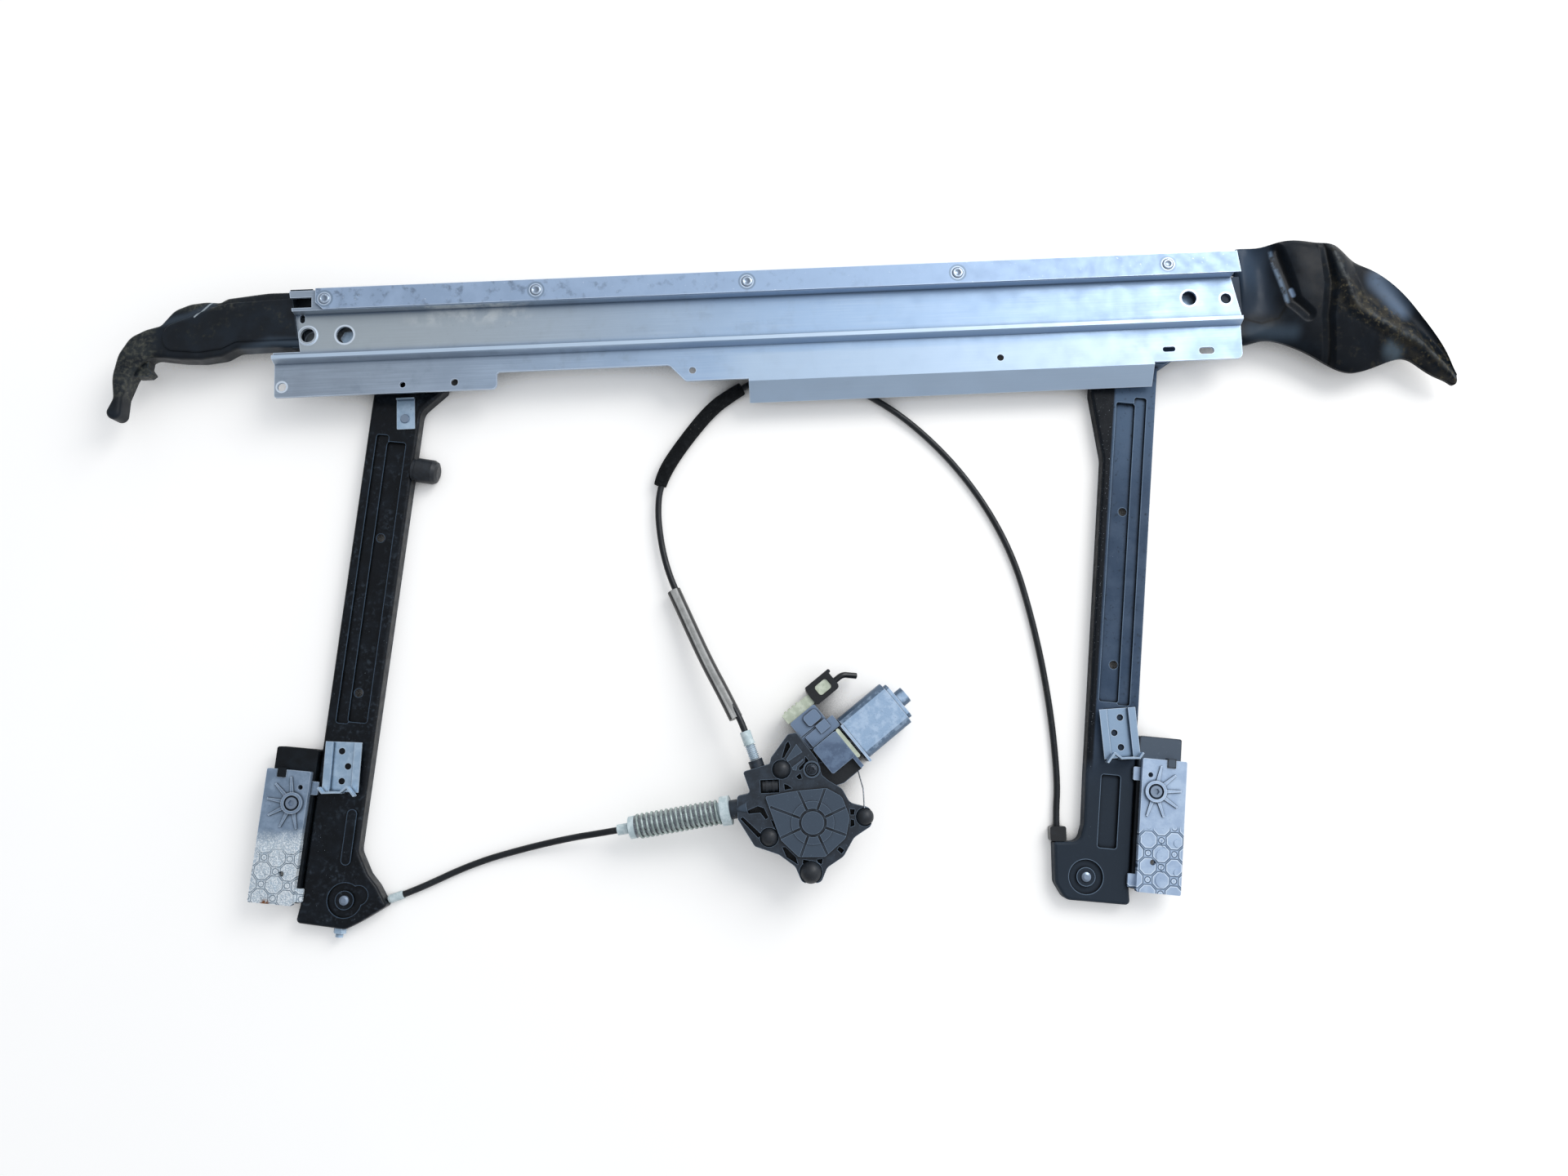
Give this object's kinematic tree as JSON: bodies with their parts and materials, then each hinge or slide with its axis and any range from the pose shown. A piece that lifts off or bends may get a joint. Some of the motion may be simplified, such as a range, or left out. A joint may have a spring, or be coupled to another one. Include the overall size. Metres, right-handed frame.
{
  "type": "window regulator",
  "caption": "Twin-rail cable window regulator: glass carriers slide on guide rails under a waist beam, pulled by a gear motor's cable drum through conduits.",
  "frame": {"origin": "centre of the beam's locating hole, on the front face of the beam's web", "axes": "+X along the beam towards its slotted end, +Y towards the top of the door, +Z out of the floor that the regulator lies on"},
  "size_m": [1.2684, 0.6102, 0.0521],
  "materials": {
    "beam_aluminium": "mill finish extrusion, dulled and smudged at the left end",
    "strip_aluminium": "mill finish flat bar",
    "rivet_steel": "plain set rivets",
    "zinc_steel": "zinc plated, pale blue",
    "black_paint": "gloss black dip coat with dust",
    "slate_paint": "satin slate coat",
    "black_plastic": "moulded, satin",
    "boot_plastic": "moulded, dusty",
    "slate_plastic": "glass filled nylon, slate",
    "module_plastic": "moulded, blue slate",
    "ivory_plastic": "moulded, ivory",
    "white_plastic": "moulded, white",
    "gloss_plastic": "moulded, gloss black",
    "drum_plastic": "acetal, natural",
    "rubber": "soft black rubber",
    "foam": "closed cell foam",
    "film": "clear film, greyed",
    "conduit": "black conduit jacket",
    "can_steel": "zinc plated drawn can, mottled",
    "spring_steel": "zinc plated wire",
    "cable_steel": "stranded cable",
    "armature_steel": "laminated core and ground shaft",
    "magnet": "sintered ferrite"
  },
  "bodies": {
    "frame": {"ball_mounts": "rubber", "conduit_between_rails": "conduit", "conduit_to_left_rail": "conduit", "conduit_to_right_rail": "conduit", "connector_socket": "ivory_plastic", "drum_cover": "slate_plastic", "drum_housing": "slate_plastic", "electronics_housing": "module_plastic", "foam_sleeve": "foam", "gear_housing": "slate_plastic", "head_bolts": "zinc_steel", "housing_screw": "zinc_steel", "inlet_elbow": "rubber", "left_end_piece": "boot_plastic", "left_ferrule": "white_plastic", "left_rail": "black_paint", "left_rail_cable": "cable_steel", "left_stop_bracket": "zinc_steel", "locating_wire": "cable_steel", "motor_can": "can_steel", "motor_gasket": "ivory_plastic", "motor_magnets": "magnet", "plug_insert": "ivory_plastic", "plug_lead": "conduit", "pulley_rivets": "rivet_steel", "rail_buffer": "rubber", "rail_clip": "zinc_steel", "rail_clip_rivet": "rivet_steel", "right_cable_cap": "gloss_plastic", "right_end_piece": "boot_plastic", "right_rail": "slate_paint", "right_rail_cable": "cable_steel", "right_stop_bracket": "zinc_steel", "seal_strip": "strip_aluminium", "split_sleeve": "film", "spring_cap": "white_plastic", "spring_seat": "white_plastic", "strip_rivets": "rivet_steel", "tension_spring": "spring_steel", "tilt_adjuster": "zinc_steel", "upper_ferrule": "white_plastic", "waist_beam": "beam_aluminium", "wiring_plug": "gloss_plastic"},
    "drum": {"cable_drum": "drum_plastic", "worm_wheel": "drum_plastic"},
    "armature": {"armature": "armature_steel"},
    "left_carrier": {"left_carrier_plate": "zinc_steel", "left_slider": "black_plastic", "left_glass_jaw": "black_plastic", "left_clamp_screw": "rivet_steel"},
    "left_lower_pulley": {"left_lower_pulley": "ivory_plastic"},
    "left_upper_pulley": {"left_upper_pulley": "ivory_plastic"},
    "right_carrier": {"right_carrier_plate": "zinc_steel", "right_slider": "black_plastic", "right_glass_jaw": "black_plastic", "right_clamp_screw": "rivet_steel"},
    "right_lower_pulley": {"right_lower_pulley": "ivory_plastic"},
    "right_upper_pulley": {"right_upper_pulley": "ivory_plastic"}
  },
  "joints": [
    {"name": "left_carrier_slide", "type": "slide", "parent": "frame", "child": "left_carrier", "axis": [0.1366, 0.9906, 0], "range_m": [0, 0.33]},
    {"name": "right_carrier_slide", "type": "slide", "parent": "frame", "child": "right_carrier", "axis": [0.1366, 0.9906, 0], "range_m": [0, 0.33]},
    {"name": "drum_spin", "type": "hinge", "parent": "frame", "child": "drum", "pos_m": [0.4519, -0.468, -0.004], "axis": [0, 0, 1], "continuous": true},
    {"name": "armature_spin", "type": "hinge", "parent": "frame", "child": "armature", "pos_m": [0.43174, -0.44125, -0.022], "axis": [0.7986, 0.6018, 0], "continuous": true},
    {"name": "left_lower_pulley_spin", "type": "hinge", "parent": "frame", "child": "left_lower_pulley", "pos_m": [0.0278, -0.52068, -0.036], "axis": [0, 0, 1], "continuous": true},
    {"name": "left_upper_pulley_spin", "type": "hinge", "parent": "frame", "child": "left_upper_pulley", "pos_m": [0.0995, -0.0006, -0.036], "axis": [0, 0, 1], "continuous": true},
    {"name": "right_lower_pulley_spin", "type": "hinge", "parent": "frame", "child": "right_lower_pulley", "pos_m": [0.69685, -0.52851, -0.036], "axis": [0, 0, 1], "continuous": true},
    {"name": "right_upper_pulley_spin", "type": "hinge", "parent": "frame", "child": "right_upper_pulley", "pos_m": [0.76855, -0.00843, -0.036], "axis": [0, 0, 1], "continuous": true}
  ],
  "couplings": [
    {"joint": "right_carrier_slide", "follows": "left_carrier_slide", "ratio": 1},
    {"joint": "drum_spin", "follows": "left_carrier_slide", "rad_per_m": 43.478},
    {"joint": "armature_spin", "follows": "left_carrier_slide", "rad_per_m": 1217.4},
    {"joint": "left_lower_pulley_spin", "follows": "left_carrier_slide", "rad_per_m": -81.301},
    {"joint": "left_upper_pulley_spin", "follows": "left_carrier_slide", "rad_per_m": -81.301},
    {"joint": "right_lower_pulley_spin", "follows": "left_carrier_slide", "rad_per_m": 81.301},
    {"joint": "right_upper_pulley_spin", "follows": "left_carrier_slide", "rad_per_m": 81.301}
  ]
}
